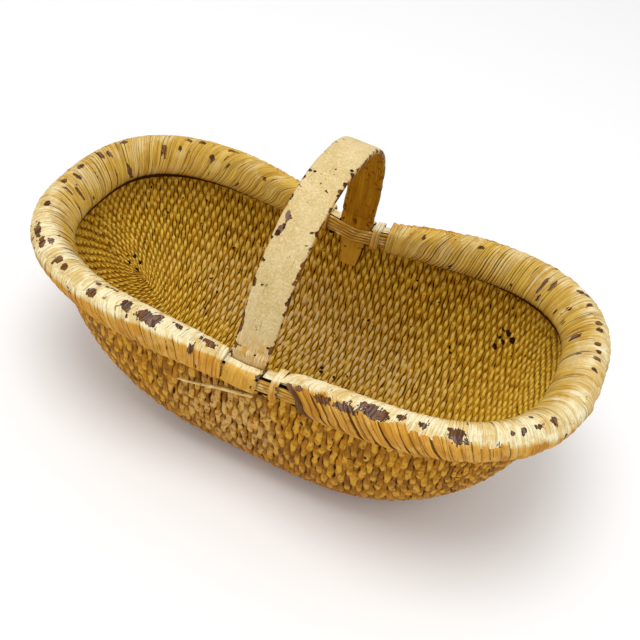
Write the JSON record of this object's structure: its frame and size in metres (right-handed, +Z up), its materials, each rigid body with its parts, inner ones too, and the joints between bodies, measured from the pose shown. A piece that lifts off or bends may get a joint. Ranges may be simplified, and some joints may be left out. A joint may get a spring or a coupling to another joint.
{
  "type": "harvest basket",
  "caption": "Long oval gathering basket of woven willow with a waisted, wrapped rim that rises to both ends and a flat bentwood strap handle across the middle.",
  "frame": {"origin": "on the ground, centred under the basket's overall box", "axes": "+X along the basket's length, towards its higher end; -Y the near side; +Z up"},
  "size_m": [0.6093, 0.3114, 0.3431],
  "materials": {
    "woven_willow": "woven willow kernels, golden brown under old worn ochre paint",
    "wrapped_strips": "flat willow strips under cream and ochre paint, chipped to brown wood",
    "rim_rods": "peeled willow rods under thin worn paint",
    "painted_strap": "cream paint on bent wood, chipped along the edges, bare dark ochre inside"
  },
  "bodies": {
    "root": {"woven_shell": "woven_willow", "inner_rim_rod_1": "rim_rods", "inner_rim_rod_2": "rim_rods", "inner_rim_rod_3": "rim_rods", "inner_rim_rod_4": "rim_rods", "inner_rim_rod_5": "rim_rods", "outer_rim_rod_1": "rim_rods", "outer_rim_rod_2": "rim_rods", "outer_rim_rod_3": "rim_rods", "outer_rim_rod_4": "rim_rods", "border_wrap_left": "wrapped_strips", "border_wrap_right": "wrapped_strips", "foot_wrap_near_right": "wrapped_strips", "foot_wrap_near_left": "wrapped_strips", "foot_cover_near": "wrapped_strips", "foot_wrap_far_right": "wrapped_strips", "foot_wrap_far_left": "wrapped_strips", "foot_cover_far": "wrapped_strips", "rim_top_strip_left": "wrapped_strips", "rim_top_strip_right": "wrapped_strips", "handle_bow": "painted_strap", "loose_rod_end": "rim_rods"}
  },
  "joints": []
}
